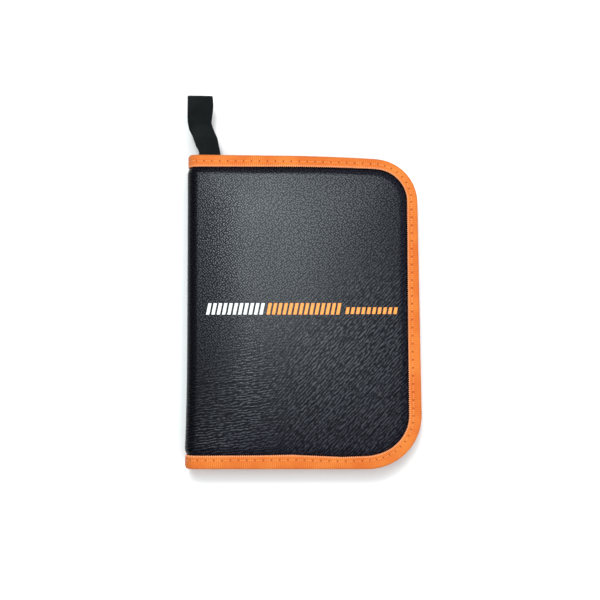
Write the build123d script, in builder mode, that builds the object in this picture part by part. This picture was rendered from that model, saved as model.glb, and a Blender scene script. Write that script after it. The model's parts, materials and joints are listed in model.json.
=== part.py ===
"""Zip-around folio case with padded covers, bound edges and a webbing hang loop.

Units are millimetres. The closed case lies on its back cover. The origin is the centre of the
back cover's resting face, +Z is up through the front cover, +X points from the spine to the
fore edge, and +Y points to the top edge, where the hang loop is.

Three stiff parts fold on one another: the back cover, the spine and the front cover. Each cover
is a sandwich, and its layers are placed by their depth below that cover's outer face.
"""

import os

from build123d import *

# ---- Case ----
cover_width = 180.0  # spine to fore edge, over the binding
cover_height = 244.0  # over the binding, at the spine
case_depth = 31.0  # back face to front face
corner_radius = 38.0  # fore-edge corners
top_edge_fall = 2.0  # the top edge is cut this much lower at the fore edge
spine_radius = 9.0  # rounding of the spine's two long edges
fold_gap = 0.4  # between the spine and each cover
fold_axis_stand_off = 1.0  # the covers fold about lines this far outside the spine's rounding
cut_margin = 1.0  # a cutting shape runs this far past what it cuts

# ---- Layers of a cover ----
skin_thickness = 1.0
foam_thickness = 2.0
board_thickness = 1.8
lining_thickness = 0.5
tape_thickness = 0.6  # zip tape
binding_thickness = 0.8
binding_leg = 8.5  # how far the binding reaches in from the edge
binding_depth = 0.8  # the padded middle stands this much proud of the binding

# ---- Insets from a cover's edge ----
pad_inset = 9.0  # the padded middle of the skin
wall_inset = 9.3  # the zip tape's upright wall
tray_inset = 10.3  # the lining's raised middle
core_inset = 10.8  # the foam and the board
core_end = 1.0  # the core stops this far short of the fold

# ---- Zip ----
chain_width = 6.0  # both halves together
chain_gap = 1.2  # between the halves, for the slider's post
chain_thickness = 2.4
chain_start = -76.0
stop_length = 3.0
stop_thickness = 2.6
stop_corner_radius = 0.6
slider_length = 10.0
slider_width = 8.4
slider_tail_width = 6.4
slider_corner_radius = 0.8
slider_rest_x = -70.0
slider_wing = 1.0
slider_clearance = 0.3
post_length = 2.4
post_setback = 2.0  # nose to the post's middle
post_corner_radius = 0.25
rim_length = 6.6
rim_thickness = 0.6
rim_shift = 1.0  # the rims sit this far towards the nose
bail_length = 6.0
bail_width = 2.0
bail_bar = 1.0
bail_opening = 1.9
pull_length = 22.0
pull_thickness = 1.2
pull_width = 5.6
pull_end_width = 6.6
pull_end_radius = 2.0
pull_window = 4.0
pull_slot_length = 6.0
pull_slot_width = 2.4
pull_slot_setback = 5.0  # free end to the slot's middle

# ---- Hang loop ----
webbing_width = 19.0
webbing_thickness = 1.2
loop_root_width = 16.4  # the webbing is pinched where it is sewn
loop_root_x = -72.0
loop_bend_x = -78.8
loop_bend_y = 140.6
loop_end_x = -79.3
loop_end_y = 168.6
loop_eye_radius = 2.75
loop_sewn_length = 6.0
loop_ply_gap = 0.3  # between the two plies beyond the sewing
loop_bend_radius = 12.0

# ---- Inside ----
strap_width = 25.0
strap_thickness = 1.2
strap_half_length = 68.0
strap_sewn_end = 10.0
strap_rise = 2.5
strap_spacing = 100.0
pocket_inset = 14.0
pocket_left = -74.0
pocket_seam = 3.0
pocket_gap = 0.9
pocket_cloth = 0.6
pocket_mouth_y = 40.0
hem_width = 10.0

# ---- Worked out ----
half_width = cover_width / 2
half_height = cover_height / 2
fold_x = -half_width + spine_radius  # where the spine ends
cover_left = fold_x + fold_gap  # where each cover starts
mid_z = case_depth / 2

margin_face = binding_depth + binding_thickness  # outer face of the skin's sewn margin
skin_inner = margin_face + skin_thickness
lining_inner = skin_inner + lining_thickness
tape_inner = lining_inner + tape_thickness
binding_inner = tape_inner + binding_thickness
foam_inner = skin_thickness + foam_thickness
board_inner = foam_inner + board_thickness
tray_inner = board_inner + lining_thickness

spine_foam_inner = skin_inner
spine_lining_inner = spine_foam_inner + lining_thickness
spine_binding_inner = spine_lining_inner + binding_thickness
pad_half_height = half_height - pad_inset
core_half_height = half_height - core_inset
margin_half_height = half_height - binding_thickness

chain_outer = mid_z - chain_width / 2  # depth where the tape meets the coil
chain_inner = mid_z - chain_gap / 2
wall_centre = wall_inset + tape_thickness / 2
coil_outer_inset = wall_centre - chain_thickness / 2
coil_inner_inset = wall_centre + chain_thickness / 2
zip_y = -half_height + wall_centre  # the zip's plane along the bottom edge
stop_x = chain_start - slider_clearance - stop_length / 2
slider_nose_x = slider_rest_x - slider_length / 2
slider_tail_x = slider_rest_x + slider_length / 2
post_thickness = chain_gap - 2 * slider_clearance
channel_half = chain_thickness / 2 + slider_clearance
rim_reach = channel_half - tape_thickness / 2 - slider_clearance
rim_z = mid_z - chain_width / 2 - slider_clearance - rim_thickness / 2
wing_outer_y = zip_y - channel_half - slider_wing
bail_height = bail_opening + bail_bar
loop_axis_z = case_depth - binding_inner - webbing_thickness
loop_root_radius = webbing_thickness + loop_ply_gap / 2
loop_eye_y = loop_end_y - webbing_thickness - loop_eye_radius

# ---- Joint axes: the record states the same places, in metres ----
fold_axis_inset = spine_radius - (spine_radius + fold_axis_stand_off) / 2**0.5
fold_axis_x = -half_width + fold_axis_inset
pull_axis_y = wing_outer_y - bail_opening / 2
loop_axis_y = half_height + fold_gap + loop_root_radius

os.makedirs("parts", exist_ok=True)


def write(builder, name):
    """Labels a finished piece and writes it as one STEP file."""
    builder.part.label = name
    export_step(builder.part, f"parts/{name}.step")


def top_edge(x):
    """Y of a cover's top edge, which falls slightly towards the fore edge."""
    return half_height - top_edge_fall * (x + half_width) / cover_width


def cover_outline(inset, left=cover_left):
    """Face of a cover: square at the fold, rounded at the fore edge."""
    right = half_width - inset
    bottom = -half_height + inset
    with BuildSketch() as outline:
        with BuildLine():
            Polyline(
                (left, bottom),
                (right, bottom),
                (right, top_edge(right) - inset),
                (left, top_edge(left) - inset),
                close=True,
            )
        make_face()
        fillet(outline.vertices().group_by(Axis.X)[-1], radius=corner_radius - inset)
    return outline.sketch


def edge_band(outer_inset, inner_inset, left=cover_left):
    """U-shaped face that follows a cover's three sewn edges."""
    with BuildSketch() as band:
        add(cover_outline(outer_inset, left))
        add(cover_outline(inner_inset, left - cut_margin), mode=Mode.SUBTRACT)
    return band.sketch


def spine_block(depth, right=fold_x):
    """Filled cross-section of the spine, at a depth below its outer face."""
    with BuildSketch() as block:
        with BuildLine():
            Polyline(
                (-half_width + depth, depth),
                (right, depth),
                (right, case_depth - depth),
                (-half_width + depth, case_depth - depth),
                close=True,
            )
        make_face()
        fillet(block.vertices().group_by(Axis.X)[0], radius=spine_radius - depth)
    return block.sketch


def spine_layer(outer, inner):
    """C-shaped cross-section of one layer that wraps the spine."""
    with BuildSketch() as layer:
        add(spine_block(outer))
        add(spine_block(inner, fold_x + cut_margin), mode=Mode.SUBTRACT)
    return layer.sketch


def two_circle_hull(first_y, first_radius, second_y, second_radius):
    """Face round two circles at the hang loop's height, like a belt on two pulleys."""
    with BuildSketch() as hull:
        with BuildLine():
            CenterArc((first_y, loop_axis_z), first_radius, 0, 360)
            CenterArc((second_y, loop_axis_z), second_radius, 0, 360)
        make_hull()
    return hull.sketch


def level(side, outer, inner):
    """Plane at the lower face of a layer, from the depths of its two faces."""
    return Plane.XY.offset(outer if side == "back" else case_depth - inner)


# ---- Covers ----
for side in ("back", "front"):
    # Skin: a sewn margin with a raised, hollow middle that the foam fills.
    with BuildPart() as cover_skin:
        with BuildSketch(level(side, margin_face, skin_inner)):
            add(cover_outline(binding_thickness))
        extrude(amount=skin_thickness)
        with BuildSketch(level(side, 0, margin_face)):
            add(cover_outline(pad_inset))
        extrude(amount=margin_face)
        with BuildSketch(level(side, skin_thickness, skin_inner)):
            add(cover_outline(core_inset, cover_left + core_end))
        extrude(amount=skin_inner - skin_thickness, mode=Mode.SUBTRACT)
    write(cover_skin, f"{side}_cover_skin")

    with BuildPart() as foam_pad:
        with BuildSketch(level(side, skin_thickness, foam_inner)):
            add(cover_outline(core_inset, cover_left + core_end))
        extrude(amount=foam_thickness)
    write(foam_pad, f"{side}_foam_pad")

    with BuildPart() as board:
        with BuildSketch(level(side, foam_inner, board_inner)):
            add(cover_outline(core_inset, cover_left + core_end))
        extrude(amount=board_thickness)
    write(board, f"{side}_board")

    # Lining: a sewn margin and a shallow tray that holds the board.
    with BuildPart() as lining:
        with BuildSketch(level(side, skin_inner, lining_inner)):
            add(cover_outline(binding_thickness))
        extrude(amount=lining_thickness)
        with BuildSketch(level(side, skin_inner, tray_inner)):
            add(cover_outline(tray_inset))
        extrude(amount=tray_inner - skin_inner)
        with BuildSketch(level(side, skin_inner, board_inner)):
            add(cover_outline(core_inset, cover_left + core_end))
        extrude(amount=board_inner - skin_inner, mode=Mode.SUBTRACT)
    write(lining, f"{side}_lining")

    # Binding: a tape folded round the three edges, with a slot for the sewn margins.
    with BuildPart() as binding:
        with BuildSketch(level(side, binding_depth, binding_inner)):
            add(edge_band(0, binding_leg))
        extrude(amount=binding_inner - binding_depth)
        with BuildSketch(level(side, margin_face, tape_inner)):
            add(edge_band(binding_thickness, binding_leg + cut_margin, cover_left - cut_margin))
        extrude(amount=tape_inner - margin_face, mode=Mode.SUBTRACT)
        outer_edges = binding.faces().sort_by(Axis.X)[-1].edges().filter_by(Axis.Y)
        fillet(outer_edges, radius=binding_thickness / 2)
    write(binding, f"{side}_binding")

    # Zip tape: a flange sewn under the binding, and an upright wall up to the coil.
    with BuildPart() as zip_tape:
        with BuildSketch(level(side, lining_inner, tape_inner)):
            add(edge_band(binding_thickness, wall_inset + tape_thickness))
        extrude(amount=tape_thickness)
        with BuildSketch(level(side, lining_inner, chain_outer)):
            add(edge_band(wall_inset, wall_inset + tape_thickness))
        extrude(amount=chain_outer - lining_inner)
    write(zip_tape, f"{side}_zip_tape")

    with BuildPart() as zip_coil:
        with BuildSketch(level(side, chain_outer, chain_inner)):
            add(edge_band(coil_outer_inset, coil_inner_inset, chain_start))
        extrude(amount=chain_inner - chain_outer)
    write(zip_coil, f"{side}_zip_coil")

    # Stops: one clip at each end of the coil.
    with BuildPart() as zip_stops:
        with BuildSketch(level(side, chain_outer, chain_inner)):
            with Locations((stop_x, zip_y), (stop_x, -zip_y)):
                RectangleRounded(stop_length, stop_thickness, stop_corner_radius)
        extrude(amount=chain_inner - chain_outer)
    write(zip_stops, f"{side}_zip_stops")

# ---- Spine ----
with BuildPart() as spine_skin:
    with BuildSketch(Plane.XZ):
        add(spine_layer(0, skin_inner))
    extrude(amount=pad_half_height, both=True)
    with BuildSketch(Plane.XZ):
        add(spine_layer(margin_face, skin_inner))
    extrude(amount=margin_half_height, both=True)
    with BuildSketch(Plane.XZ):
        add(spine_layer(skin_thickness, skin_inner + cut_margin))
    extrude(amount=core_half_height, both=True, mode=Mode.SUBTRACT)
write(spine_skin, "spine_skin")

with BuildPart() as spine_foam_pad:
    with BuildSketch(Plane.XZ):
        add(spine_layer(skin_thickness, spine_foam_inner))
    extrude(amount=core_half_height, both=True)
write(spine_foam_pad, "spine_foam_pad")

with BuildPart() as spine_lining:
    with BuildSketch(Plane.XZ):
        add(spine_layer(spine_foam_inner, spine_lining_inner))
    extrude(amount=margin_half_height, both=True)
write(spine_lining, "spine_lining")

for name, outer_y in (("top", half_height), ("bottom", -half_height + binding_leg)):
    slot_y = outer_y - (binding_thickness if name == "top" else 0)
    with BuildPart() as spine_binding:
        with BuildSketch(Plane.XZ.offset(-outer_y)):
            add(spine_layer(binding_depth, spine_binding_inner))
        extrude(amount=binding_leg)
        with BuildSketch(Plane.XZ.offset(-slot_y)):
            add(spine_layer(margin_face, spine_lining_inner))
        extrude(amount=binding_leg - binding_thickness, mode=Mode.SUBTRACT)
    write(spine_binding, f"spine_binding_{name}")

# ---- Zip slider: two wings joined by a post, with retaining rims on the back cover's side ----
with BuildPart() as zip_slider_body:
    for face_y in (zip_y - channel_half, zip_y + channel_half + slider_wing):
        with BuildSketch(Plane.XZ.offset(-face_y)) as wing:
            with BuildLine():
                Polyline(
                    (slider_nose_x, mid_z - slider_width / 2),
                    (slider_rest_x, mid_z - slider_width / 2),
                    (slider_tail_x, mid_z - slider_tail_width / 2),
                    (slider_tail_x, mid_z + slider_tail_width / 2),
                    (slider_rest_x, mid_z + slider_width / 2),
                    (slider_nose_x, mid_z + slider_width / 2),
                    close=True,
                )
            make_face()
            fillet(wing.vertices(), radius=slider_corner_radius)
        extrude(amount=slider_wing)
    with BuildSketch(Plane.XZ.offset(-(zip_y + channel_half))):
        with Locations((slider_nose_x + post_setback, mid_z)):
            RectangleRounded(post_length, post_thickness, post_corner_radius)
    extrude(amount=2 * channel_half)
    for rim_y in (zip_y + channel_half, zip_y - channel_half + rim_reach):
        with BuildSketch(Plane.XZ.offset(-rim_y)):
            with Locations((slider_rest_x - rim_shift, rim_z)):
                Rectangle(rim_length, rim_thickness)
        extrude(amount=rim_reach)
write(zip_slider_body, "zip_slider_body")

with BuildPart() as zip_slider_bail:
    with BuildSketch(Plane.XY.offset(mid_z - bail_width / 2)) as arch:
        with Locations((slider_rest_x, wing_outer_y - bail_height / 2)):
            Rectangle(bail_length, bail_height)
        fillet(arch.vertices().group_by(Axis.Y)[0], radius=bail_bar)
        with Locations((slider_rest_x, wing_outer_y - bail_opening / 2)):
            Rectangle(bail_length - 2 * bail_bar, bail_opening, mode=Mode.SUBTRACT)
    extrude(amount=bail_width)
write(zip_slider_bail, "zip_slider_bail")

# ---- Zip pull: a flat tab whose cross bar turns in the bail ----
with BuildPart() as zip_pull_tab:
    with BuildSketch(Plane.XZ.offset(-(pull_axis_y + pull_thickness / 2))) as tab:
        with BuildLine():
            Polyline(
                (slider_rest_x, mid_z - pull_width / 2),
                (slider_rest_x + pull_length, mid_z - pull_end_width / 2),
                (slider_rest_x + pull_length, mid_z + pull_end_width / 2),
                (slider_rest_x, mid_z + pull_width / 2),
                close=True,
            )
        make_face()
        fillet(tab.vertices().group_by(Axis.X)[-1], radius=pull_end_radius)
        with Locations((slider_rest_x + pull_window / 2, mid_z)):
            Rectangle(pull_window, bail_width + 2 * slider_clearance, mode=Mode.SUBTRACT)
        with Locations((slider_rest_x + pull_length - pull_slot_setback, mid_z)):
            SlotOverall(pull_slot_length, pull_slot_width, mode=Mode.SUBTRACT)
    extrude(amount=pull_thickness)
    with BuildSketch(Plane.XY.offset(mid_z - pull_width / 2)):
        with Locations((slider_rest_x, pull_axis_y)):
            Circle(pull_thickness / 2)
    extrude(amount=pull_width)
write(zip_pull_tab, "zip_pull_tab")

# ---- Hang loop: webbing folded back on itself, with a small eye at the fold ----
with BuildPart() as hang_loop:
    with BuildSketch(Plane.YZ.offset(loop_end_x - webbing_width)):
        add(two_circle_hull(loop_axis_y, loop_root_radius, loop_eye_y, loop_eye_radius + webbing_thickness))
        inner_start_y = loop_axis_y + loop_sewn_length
        add(
            two_circle_hull(inner_start_y, loop_ply_gap / 2, loop_eye_y, loop_eye_radius),
            mode=Mode.SUBTRACT,
        )
    extrude(amount=2 * webbing_width)
    with BuildSketch() as webbing_path:
        with BuildLine():
            Polyline(
                (loop_root_x - loop_root_width / 2, half_height),
                (loop_root_x + loop_root_width / 2, half_height),
                (loop_bend_x + webbing_width / 2, loop_bend_y),
                (loop_end_x + webbing_width / 2, loop_end_y + cut_margin),
                (loop_end_x - webbing_width / 2, loop_end_y + cut_margin),
                (loop_bend_x - webbing_width / 2, loop_bend_y),
                close=True,
            )
        make_face()
        fillet(webbing_path.vertices().sort_by(Axis.Y)[2:4], radius=loop_bend_radius)
    extrude(amount=case_depth, mode=Mode.INTERSECT)
write(hang_loop, "hang_loop")

with BuildPart() as hang_loop_anchor:
    anchor_length = binding_leg - fold_gap
    anchor_y = top_edge(loop_root_x + loop_root_width / 2) - anchor_length / 2
    with BuildSketch(level("front", binding_inner, binding_inner + 2 * webbing_thickness)):
        with Locations((loop_root_x, anchor_y)):
            Rectangle(loop_root_width, anchor_length)
    extrude(amount=2 * webbing_thickness)
write(hang_loop_anchor, "hang_loop_anchor")

# ---- Inside: two retaining straps on the back lining, and a slip pocket on the front lining ----
base_z = tray_inner
face_z = tray_inner + strap_thickness
free_half = strap_half_length - strap_sewn_end
for name, strap_y in (("upper", strap_spacing / 2), ("lower", -strap_spacing / 2)):
    with BuildPart() as pack_strap:
        with BuildSketch(Plane.XZ.offset(-(strap_y + strap_width / 2))):
            with BuildLine():
                Line((-strap_half_length, base_z), (-free_half, base_z))
                ThreePointArc((-free_half, base_z), (0, base_z + strap_rise), (free_half, base_z))
                Polyline(
                    (free_half, base_z),
                    (strap_half_length, base_z),
                    (strap_half_length, face_z),
                    (free_half, face_z),
                )
                ThreePointArc((free_half, face_z), (0, face_z + strap_rise), (-free_half, face_z))
                Polyline((-free_half, face_z), (-strap_half_length, face_z), (-strap_half_length, base_z))
            make_face()
        extrude(amount=strap_width)
    write(pack_strap, f"pack_strap_{name}")

pocket_inner = tray_inner + pocket_gap + pocket_cloth
with BuildPart() as front_pocket:
    with BuildSketch(level("front", tray_inner, pocket_inner)):
        add(cover_outline(pocket_inset, pocket_left))
    extrude(amount=pocket_inner - tray_inner)
    with BuildSketch(level("front", tray_inner, tray_inner + pocket_gap)):
        add(cover_outline(pocket_inset + pocket_seam, pocket_left + pocket_seam))
    extrude(amount=pocket_gap, mode=Mode.SUBTRACT)
    with BuildSketch():
        with Locations((0, pocket_mouth_y + half_height)):
            Rectangle(cover_width, 2 * half_height)
    extrude(amount=case_depth, mode=Mode.SUBTRACT)
write(front_pocket, "front_pocket")

with BuildPart() as front_pocket_hem:
    pocket_right = half_width - pocket_inset
    with BuildSketch(level("front", pocket_inner, pocket_inner + pocket_cloth)):
        with Locations(((pocket_left + pocket_right) / 2, pocket_mouth_y - hem_width / 2)):
            Rectangle(pocket_right - pocket_left, hem_width)
    extrude(amount=pocket_cloth)
write(front_pocket_hem, "front_pocket_hem")

print(f"fold axes: x {fold_axis_x:.3f}, z {fold_axis_inset:.3f} and {case_depth - fold_axis_inset:.3f}")
print(f"pull axis: x {slider_rest_x:.3f}, y {pull_axis_y:.3f}, z {mid_z:.3f}")
print(f"hang loop axis: y {loop_axis_y:.3f}, z {loop_axis_z:.3f}")
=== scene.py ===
"""Looks of a zip-around folio case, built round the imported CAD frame. Everything is in metres.

The leather, lining and binding of the real case are flat sheets that wrap the spine and both covers.
Each is made here as two half sheets, front and back, that meet along the middle of the spine. A half
sheet is drawn flat, with s measured from the middle of the spine towards the fore edge and y along
the spine, and place() then folds it into the case's shape.
"""

import json
import math

import bpy
import numpy as np
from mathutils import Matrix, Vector, geometry


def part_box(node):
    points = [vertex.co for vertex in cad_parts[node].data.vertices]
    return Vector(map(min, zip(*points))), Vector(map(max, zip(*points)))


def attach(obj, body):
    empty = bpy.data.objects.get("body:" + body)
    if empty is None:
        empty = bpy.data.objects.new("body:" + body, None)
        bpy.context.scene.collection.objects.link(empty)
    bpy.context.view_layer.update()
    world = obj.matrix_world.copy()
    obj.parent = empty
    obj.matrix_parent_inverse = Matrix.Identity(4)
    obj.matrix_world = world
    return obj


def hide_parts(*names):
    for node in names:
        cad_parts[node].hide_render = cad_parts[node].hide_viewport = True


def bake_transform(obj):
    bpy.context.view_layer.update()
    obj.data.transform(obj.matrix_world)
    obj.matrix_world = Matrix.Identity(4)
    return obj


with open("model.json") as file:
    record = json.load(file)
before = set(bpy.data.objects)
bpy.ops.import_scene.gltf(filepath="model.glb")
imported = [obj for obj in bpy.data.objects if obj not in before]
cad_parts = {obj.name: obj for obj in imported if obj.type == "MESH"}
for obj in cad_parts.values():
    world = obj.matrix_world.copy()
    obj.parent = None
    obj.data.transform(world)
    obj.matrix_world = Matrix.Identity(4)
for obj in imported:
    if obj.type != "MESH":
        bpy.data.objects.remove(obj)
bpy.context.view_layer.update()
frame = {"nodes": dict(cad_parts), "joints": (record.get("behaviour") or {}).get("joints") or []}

MM = 0.001
SIDES = ("front", "back")
RNG = np.random.default_rng(7)

# ---- Sizes from the frame ----
spine_low, spine_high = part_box("spine_skin")
skin_low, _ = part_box("front_cover_skin")
binding_low, binding_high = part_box("front_binding")
lining_low, lining_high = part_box("front_lining")
_, tape_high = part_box("front_zip_tape")
coil_low, coil_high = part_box("front_zip_coil")
_, board_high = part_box("front_board")

CASE_DEPTH = spine_high.z
MID_Z = CASE_DEPTH / 2
LEFT = spine_low.x
RIGHT = binding_high.x
BOTTOM = binding_low.y
TOP = binding_high.y
BINDING_OUTER = CASE_DEPTH - binding_high.z
BINDING_INNER = CASE_DEPTH - binding_low.z
SKIN_INNER = CASE_DEPTH - skin_low.z
LINING_OUTER = CASE_DEPTH - lining_high.z
TRAY_INNER = CASE_DEPTH - lining_low.z
TAPE_OUTER = CASE_DEPTH - tape_high.z
CHAIN_OUTER = CASE_DEPTH - coil_high.z
BOARD_OUTER = CASE_DEPTH - board_high.z
CORE_INSET = RIGHT - board_high.x
COIL_INSET = RIGHT - coil_high.x
ZIP_Y = sum(c.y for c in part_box("zip_slider_body")) / 2
WALL_INSET = ZIP_Y - BOTTOM

# ---- Sizes that the boxes don't give ----
SPINE_RADIUS = 9 * MM
LOW_CORNER_RADIUS = 42 * MM
HIGH_CORNER_RADIUS = 34 * MM
TOP_FALL = 2 * MM
SKIN_THICKNESS = 1.0 * MM
LINING_THICKNESS = 0.5 * MM
TAPE_THICKNESS = 0.6 * MM
MARGIN_FACE = SKIN_INNER - SKIN_THICKNESS

# ---- Landmarks along s, the distance over the flat sheet from the middle of the spine ----
SPINE_FLAT = MID_Z - SPINE_RADIUS
COVER_START = SPINE_FLAT + SPINE_RADIUS * math.pi / 2
COVER_START_X = LEFT + SPINE_RADIUS
FORE_END = COVER_START + RIGHT - COVER_START_X
TOP_SLOPE = math.atan2(TOP_FALL, FORE_END - COVER_START)

# ---- How far the worn case is out of square ----
FORE_SHIFT = 1.0 * MM
FORE_LEAN = 0.0145
SPINE_BULGE = 1.6 * MM
SPINE_BULGE_SPAN = (-30 * MM, -122 * MM)
TOP_SAG = 2.0 * MM
TOP_SAG_SPAN = (-15 * MM, 60 * MM)


def smoothstep(t):
    t = np.clip(t, 0, 1)
    return t * t * (3 - 2 * t)


def share_of(value, span):
    """How far a value is from the span's first end to its second, from 0 to 1."""
    return np.clip((value - span[0]) / (span[1] - span[0]), 0, 1)


def run_length(points):
    """Distance along a line of points, from 0 at the first."""
    steps = np.linalg.norm(np.diff(points, axis=0), axis=1)
    return np.concatenate([[0], np.cumsum(steps)])


def flat_s(x):
    """The s of a place on a cover."""
    return COVER_START + x - COVER_START_X


# ---------------------------------------------------------------- Folding a flat sheet into the case


def settle(x, y):
    """How far the worn case has crept out of square: its lower fore edge and lower spine lean out."""
    across = share_of(x, (LEFT, RIGHT))
    lean = across * (FORE_SHIFT - FORE_LEAN * y)
    bulge = (1 - across) * SPINE_BULGE * share_of(y, SPINE_BULGE_SPAN) ** 2
    sag = TOP_SAG * share_of(x, TOP_SAG_SPAN) ** 2 * share_of(y, (0, TOP))
    return lean - bulge, -sag


def place(side, s, y, depth):
    """Where flat-sheet points lie on the folded case, at a depth below its outer surface."""
    s, y, depth = np.broadcast_arrays(s, y, depth)
    angle = np.clip((s - SPINE_FLAT) / SPINE_RADIUS, 0, math.pi / 2)
    reach = SPINE_RADIUS - depth
    x = COVER_START_X - reach * np.cos(angle) + np.maximum(s - COVER_START, 0)
    z = MID_Z + np.minimum(s, SPINE_FLAT) + reach * np.sin(angle)
    if side == "back":
        z = CASE_DEPTH - z
    dx, dy = settle(x, y)
    return np.stack([x + dx, y + dy, z], -1)


def top_edge(s):
    return TOP - math.tan(TOP_SLOPE) * (s - COVER_START)


# Centres of the two rounded corners at the fore edge, as s and y.
LOW_CENTRE = (FORE_END - LOW_CORNER_RADIUS, BOTTOM + LOW_CORNER_RADIUS)
HIGH_CENTRE = (
    FORE_END - HIGH_CORNER_RADIUS,
    top_edge(FORE_END - HIGH_CORNER_RADIUS) - HIGH_CORNER_RADIUS / math.cos(TOP_SLOPE),
)


def edge_path(step, start=0.0):
    """The three sewn edges of a half sheet, from the spine's foot round to its head.

    Returns s, y, the inward normal's s and y, and the distance along the path.
    """
    rows = []

    def straight(a, b, normal):
        count = max(1, round(math.dist(a, b) / step))
        for i in range(count):
            t = i / count
            rows.append((a[0] + (b[0] - a[0]) * t, a[1] + (b[1] - a[1]) * t, *normal))

    def arc(centre, radius, first, last):
        count = max(1, round(radius * (last - first) / step))
        for i in range(count):
            angle = first + (last - first) * i / count
            out_s, out_y = math.cos(angle), math.sin(angle)
            rows.append((centre[0] + radius * out_s, centre[1] + radius * out_y, -out_s, -out_y))

    head = (start, top_edge(start))
    slope_normal = (-math.sin(TOP_SLOPE), -math.cos(TOP_SLOPE))
    top_tangent = [c - HIGH_CORNER_RADIUS * n for c, n in zip(HIGH_CENTRE, slope_normal)]
    straight((start, BOTTOM), (LOW_CENTRE[0], BOTTOM), (0, 1))
    arc(LOW_CENTRE, LOW_CORNER_RADIUS, -math.pi / 2, 0)
    straight((FORE_END, LOW_CENTRE[1]), (FORE_END, HIGH_CENTRE[1]), (-1, 0))
    arc(HIGH_CENTRE, HIGH_CORNER_RADIUS, 0, math.pi / 2 - TOP_SLOPE)
    straight(top_tangent, head, slope_normal)
    rows.append((*head, *slope_normal))
    s, y, ns, ny = np.array(rows).T
    return s, y, ns, ny, run_length(np.stack([s, y], -1))


def edge_length(edge):
    *_, along = edge
    return along[-1]


def edge_rings(side, edge, inset, depth):
    """A ring of points across each place of an edge path: how far inwards each lies, and how deep."""
    s, y, ns, ny, _ = edge
    return place(side, s[:, None] + ns[:, None] * inset, y[:, None] + ny[:, None] * inset, depth)


def edge_points(edge, at, inset):
    """Flat s and y of the places at a distance along an edge path, moved inwards by inset."""
    s, y, ns, ny, along = edge
    path_s = np.interp(at, along, s) + np.interp(at, along, ns) * inset
    path_y = np.interp(at, along, y) + np.interp(at, along, ny) * inset
    return path_s, path_y


def edge_distance(s, y):
    """How far a flat-sheet point lies inside the sewn edges."""
    s, y = np.broadcast_arrays(s, y)
    from_top = (top_edge(s) - y) * math.cos(TOP_SLOPE)
    distance = np.minimum(np.minimum(y - BOTTOM, from_top), FORE_END - s)
    low, high = (LOW_CENTRE, LOW_CORNER_RADIUS, -1), (HIGH_CENTRE, HIGH_CORNER_RADIUS, 1)
    for (centre_s, centre_y), radius, upward in (low, high):
        in_corner = (upward * (y - centre_y) > 0) & (s > centre_s)
        distance = np.where(in_corner, radius - np.hypot(s - centre_s, y - centre_y), distance)
    return distance


# The binding's width at shares of the case's height, and how much wider it is in places along the
# foot, where it has puckered. Both in millimetres.
LEG_WIDTHS = np.transpose([(0, 10.5), (0.12, 9.6), (0.4, 9.2), (0.85, 8.1), (1, 7.7)])
FOOT_PUCKER = np.transpose([(0, -0.3), (70, 0.1), (93, 0.6), (131, -1.1), (160, 0)])
HEAD_EXTRA = 2.0 * MM
FOOT_SHARE = 0.12
HEAD_SHARE = 0.85


def height_share(y):
    return (y - BOTTOM) / (TOP - BOTTOM)


def leg_width(s, y):
    """How wide the binding shows on each face: widest along the foot and at the head of the spine."""
    rise = height_share(y)
    width = np.interp(rise, *LEG_WIDTHS) * MM
    puckered = np.interp(s / MM, *FOOT_PUCKER) * MM
    at_head = smoothstep((rise - HEAD_SHARE) / 0.12) * (1 - s / FORE_END)
    return width + HEAD_EXTRA * at_head + puckered * (1 - smoothstep(rise / FOOT_SHARE))


# ---------------------------------------------------------------- Meshes

SLIVER_HEIGHT = 0.005 * MM


def flipped(faces):
    return [tuple(reversed(face)) for face in faces]


def flat_grid(along, around):
    """Flat places of a grid of points, from their distances along it and around it."""
    flat = np.zeros((len(along), len(around), 3))
    flat[:, :, 0] = along[:, None]
    flat[:, :, 1] = around[None]
    return flat.reshape(-1, 3)


def make_object(name, verts, faces, flat, material, sharp=40, **point_values):
    """A mesh object in the case's frame. flat holds each point's place on the cloth, for its material."""
    mesh = bpy.data.meshes.new(name)
    mesh.from_pydata(np.asarray(verts).tolist(), [], [tuple(f) for f in faces])
    mesh.validate()
    layer = mesh.attributes.new("flat", "FLOAT_VECTOR", "POINT")
    layer.data.foreach_set("vector", np.asarray(flat, np.float32).ravel())
    for key, values in point_values.items():
        layer = mesh.attributes.new(key, "FLOAT", "POINT")
        layer.data.foreach_set("value", np.asarray(values, np.float32).ravel())
    mesh.shade_smooth()
    mesh.set_sharp_from_angle(angle=math.radians(sharp))
    mesh.materials.append(material)
    obj = bpy.data.objects.new(name, mesh)
    bpy.context.scene.collection.objects.link(obj)
    return obj


def join(parts):
    """One list of verts, faces and flat places from several."""
    verts, faces, flats, count = [], [], [], 0
    for v, f, flat in parts:
        verts.append(v)
        faces.extend(tuple(i + count for i in face) for face in f)
        flats.append(flat)
        count += len(v)
    return np.concatenate(verts), faces, np.concatenate(flats)


def grid_faces(rows, columns, closed=False):
    """Quads of a grid of points, whose rows close on themselves where closed is set."""
    faces = []
    for i in range(rows - 1):
        for j in range(columns if closed else columns - 1):
            k = (j + 1) % columns
            faces.append((i * columns + j, i * columns + k, (i + 1) * columns + k, (i + 1) * columns + j))
    return faces


def swept(rows):
    """A closed solid through rings of points: rows has shape (rings, points, 3)."""
    rings, count, _ = rows.shape
    faces = grid_faces(rings, count, closed=True)
    faces.append(tuple(reversed(range(count))))
    faces.append(tuple(range((rings - 1) * count, rings * count)))
    return rows.reshape(-1, 3), faces


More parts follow.
